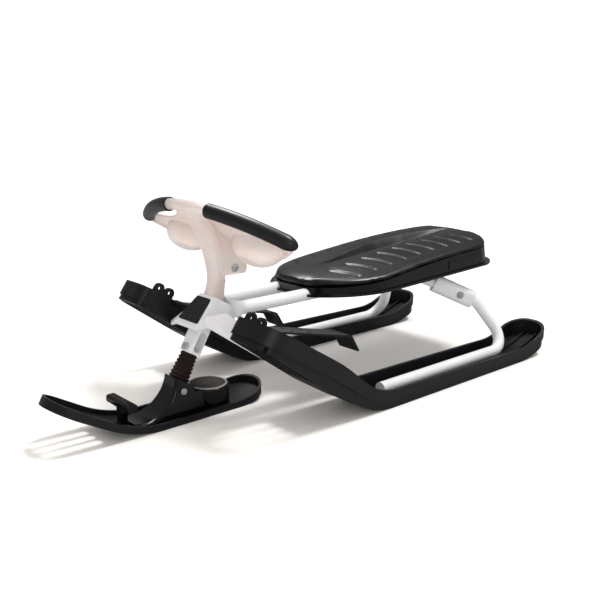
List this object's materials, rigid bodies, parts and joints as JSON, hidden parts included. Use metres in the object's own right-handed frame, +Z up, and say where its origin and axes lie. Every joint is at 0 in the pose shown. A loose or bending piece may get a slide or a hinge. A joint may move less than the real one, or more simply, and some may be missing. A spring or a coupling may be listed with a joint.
{
  "type": "steerable snow sled",
  "caption": "Steel-tube snow sled with a padded seat, moulded rear skis with foot brakes, and a wheel that steers a short front ski.",
  "frame": {"origin": "on the floor, under the middle of the sled's length and width", "axes": "+X forward towards the front ski, +Y to the rider's left, +Z up"},
  "size_m": [1.16, 0.52, 0.413],
  "materials": {
    "frame_paint": "white powder coat, semi-gloss",
    "badge_black": "satin black moulded plate, bare",
    "zinc_steel": "zinc plated",
    "boot_rubber": "ribbed dark maroon rubber",
    "gloss_black": "gloss black moulding",
    "disc_silver": "satin silver disc, bare",
    "ski_plastic": "black moulded plastic, satin",
    "wheel_plastic": "pale blush translucent moulding",
    "pad_foam": "matt black moulded foam skin",
    "grip_rubber": "black soft grip"
  },
  "bodies": {
    "frame": {"head_bracket": "frame_paint", "badge_plate": "badge_black", "seat_shell": "gloss_black", "seat_pad": "pad_foam", "rear_ski_left": "ski_plastic", "rear_ski_right": "ski_plastic", "tow_eyes_left": "ski_plastic", "tow_eyes_right": "ski_plastic", "seat_tube_left": "frame_paint", "seat_tube_right": "frame_paint", "rear_leg_left": "frame_paint", "rear_leg_right": "frame_paint", "leg_sleeve_left": "frame_paint", "leg_sleeve_right": "frame_paint", "brake_left": "ski_plastic", "brake_right": "ski_plastic", "brake_pin_left": "zinc_steel", "brake_pin_right": "zinc_steel"},
    "steering": {"steering_shaft": "zinc_steel", "fork": "frame_paint", "fork_bolt": "zinc_steel", "suspension_boot": "boot_rubber", "reel_housing": "gloss_black", "reel_disc": "disc_silver", "ski_bolt": "zinc_steel", "tow_handle": "gloss_black", "front_ski": "ski_plastic", "steering_wheel": "wheel_plastic", "grip_left": "grip_rubber", "grip_right": "grip_rubber"}
  },
  "joints": [
    {"name": "steering_turn", "type": "hinge", "parent": "frame", "child": "steering", "pos_m": [0.217, 0, 0.217], "axis": [-0.5075, 0, 0.8616], "range_deg": [-25, 25]}
  ]
}
